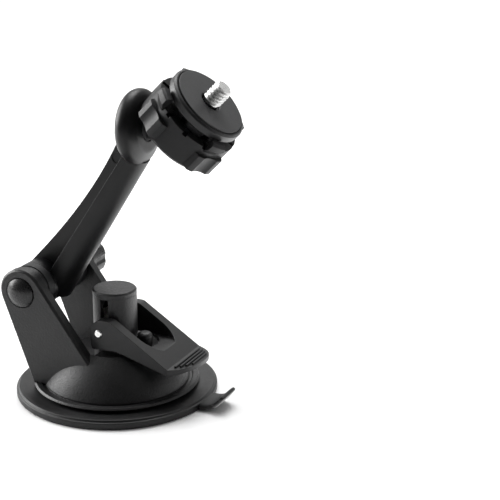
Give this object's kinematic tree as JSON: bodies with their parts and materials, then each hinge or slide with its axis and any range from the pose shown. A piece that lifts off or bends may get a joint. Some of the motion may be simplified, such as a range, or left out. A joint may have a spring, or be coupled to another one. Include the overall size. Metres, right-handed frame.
{
  "type": "dash camera suction mount",
  "caption": "Lever-locked suction cup base with a tilting arm, a ball joint with a grip nut, and a round plate with a camera screw.",
  "frame": {"origin": "centre of the suction face, on the surface that the pad sticks to", "axes": "+Z away from that surface, +X the way the lever points and the arm leans, Y along the hinge bolt with the clamp knob at +Y"},
  "size_m": [0.0816, 0.07, 0.115],
  "materials": {
    "housing_plastic": "fine moulded grain, satin black",
    "lever_plastic": "smooth satin dark grey",
    "arm_plastic": "smooth satin black",
    "nut_plastic": "smooth satin black",
    "plate_plastic": "satin black",
    "knob_plastic": "satin black",
    "pad_rubber": "soft satin black rubber",
    "face_rubber": "fine matte rubber",
    "washer_rubber": "matte",
    "steel": "bright zinc plated",
    "spring_steel": "spring wire",
    "brass": "plain brass",
    "inner_plastic": "natural acetal"
  },
  "bodies": {
    "base": {"base_housing": "housing_plastic", "tower_cap": "housing_plastic", "lever_stop_peg": "housing_plastic", "suction_pad": "pad_rubber", "plunger_spring": "spring_steel", "hinge_bolt": "steel", "pivot_cap": "knob_plastic", "friction_washer_near": "washer_rubber", "friction_washer_far": "washer_rubber"},
    "plunger": {"plunger_rod": "inner_plastic", "pad_core_disc": "inner_plastic", "lever_pin": "steel"},
    "lever": {"cam_lever": "lever_plastic"},
    "arm": {"arm_beam": "arm_plastic", "arm_bush": "inner_plastic"},
    "knob": {"clamp_knob": "knob_plastic", "knob_nut": "brass", "knob_washer": "steel"},
    "ball": {"ball_stud": "nut_plastic"},
    "seat": {"ball_seat": "inner_plastic"},
    "head": {"head_socket": "plate_plastic", "plate_screws": "steel", "camera_plate": "plate_plastic", "plate_pad": "face_rubber", "camera_stud": "steel"},
    "nut": {"clamp_nut": "nut_plastic"}
  },
  "joints": [
    {"name": "plunger_lift", "type": "slide", "parent": "base", "child": "plunger", "axis": [0, 0, 1], "range_m": [-0.00178, 0], "deforming": ["plunger_spring", "suction_pad"]},
    {"name": "lever_turn", "type": "hinge", "parent": "plunger", "child": "lever", "pos_m": [0, 0, 0.0246], "axis": [0, 1, 0], "range_deg": [-75, 0]},
    {"name": "arm_tilt", "type": "hinge", "parent": "base", "child": "arm", "pos_m": [-0.02675, 0, 0.03716], "axis": [0, 1, 0], "range_deg": [-120, 22]},
    {"name": "knob_turn", "type": "hinge", "parent": "base", "child": "knob", "pos_m": [-0.02675, 0.023, 0.03716], "axis": [0, 1, 0], "continuous": true},
    {"name": "ball_roll", "type": "hinge", "parent": "arm", "child": "ball", "pos_m": [0.0272, 0, 0.0956], "axis": [0.9997, 0, 0.0262], "continuous": true},
    {"name": "ball_tilt", "type": "hinge", "parent": "ball", "child": "seat", "pos_m": [0.0272, 0, 0.0956], "axis": [0, 1, 0], "range_deg": [0, 85]},
    {"name": "head_spin", "type": "hinge", "parent": "seat", "child": "head", "pos_m": [0.0272, 0, 0.0956], "axis": [0.7009, 0, 0.7133], "continuous": true},
    {"name": "nut_turn", "type": "hinge", "parent": "head", "child": "nut", "pos_m": [0.02895, 0, 0.09738], "axis": [-0.7009, 0, -0.7133], "range_deg": [0, 180]}
  ],
  "couplings": [
    {"joint": "lever_turn", "follows": "plunger_lift", "rad_per_m": 735.3}
  ]
}
